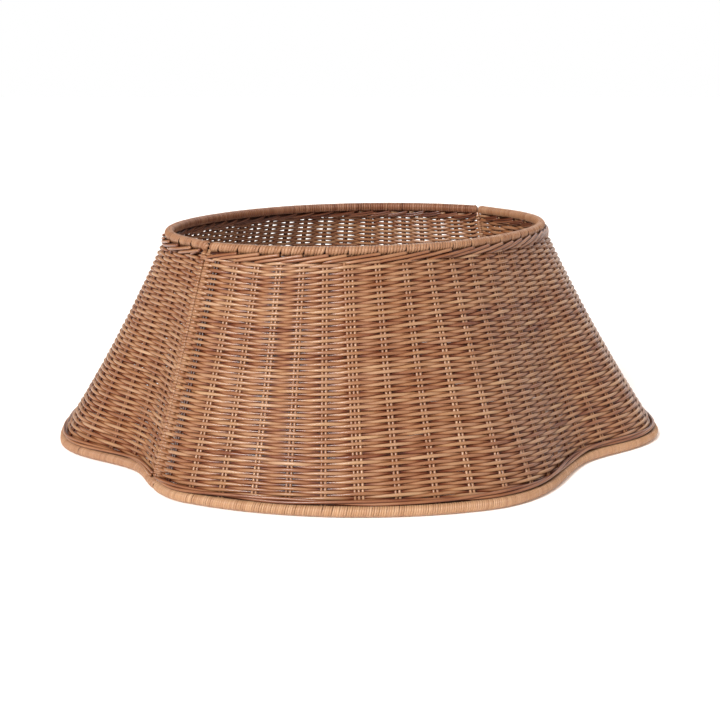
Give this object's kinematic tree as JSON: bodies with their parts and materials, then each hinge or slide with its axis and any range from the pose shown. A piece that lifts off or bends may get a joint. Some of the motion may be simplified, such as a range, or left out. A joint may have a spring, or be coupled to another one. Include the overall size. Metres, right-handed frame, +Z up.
{
  "type": "christmas tree collar",
  "caption": "Woven rattan collar that hides a Christmas tree's stand: a lobed ring of two panels, tied along one seam as a hinge and open at the other.",
  "frame": {"origin": "centre of the ring on the floor", "axes": "+Z up; -Y towards the tip of the front lobe; +X towards the right lobe"},
  "size_m": [0.659, 0.6796, 0.2304],
  "materials": {
    "woven_rattan": "satin",
    "cane_binding": "satin",
    "rattan_rod": "satin"
  },
  "bodies": {
    "front_panel": {"front_woven_wall": "woven_rattan", "front_base_rim": "cane_binding", "front_top_rim": "cane_binding", "front_first_post": "rattan_rod", "front_last_post": "rattan_rod", "front_base_border_rod_1": "rattan_rod", "front_base_border_rod_2": "rattan_rod", "front_top_border_rod_1": "rattan_rod", "front_top_border_rod_2": "rattan_rod", "seam_tie_base": "cane_binding", "seam_tie_top": "cane_binding"},
    "back_panel": {"back_woven_wall": "woven_rattan", "back_base_rim": "cane_binding", "back_top_rim": "cane_binding", "back_first_post": "rattan_rod", "back_last_post": "rattan_rod", "back_base_border_rod_1": "rattan_rod", "back_base_border_rod_2": "rattan_rod", "back_top_border_rod_1": "rattan_rod", "back_top_border_rod_2": "rattan_rod"}
  },
  "joints": [
    {"name": "seam_hinge", "type": "hinge", "parent": "front_panel", "child": "back_panel", "pos_m": [-0.19605, -0.24519, 0.00508], "axis": [0.204, 0.263, 0.943], "range_deg": [0, 85]}
  ]
}
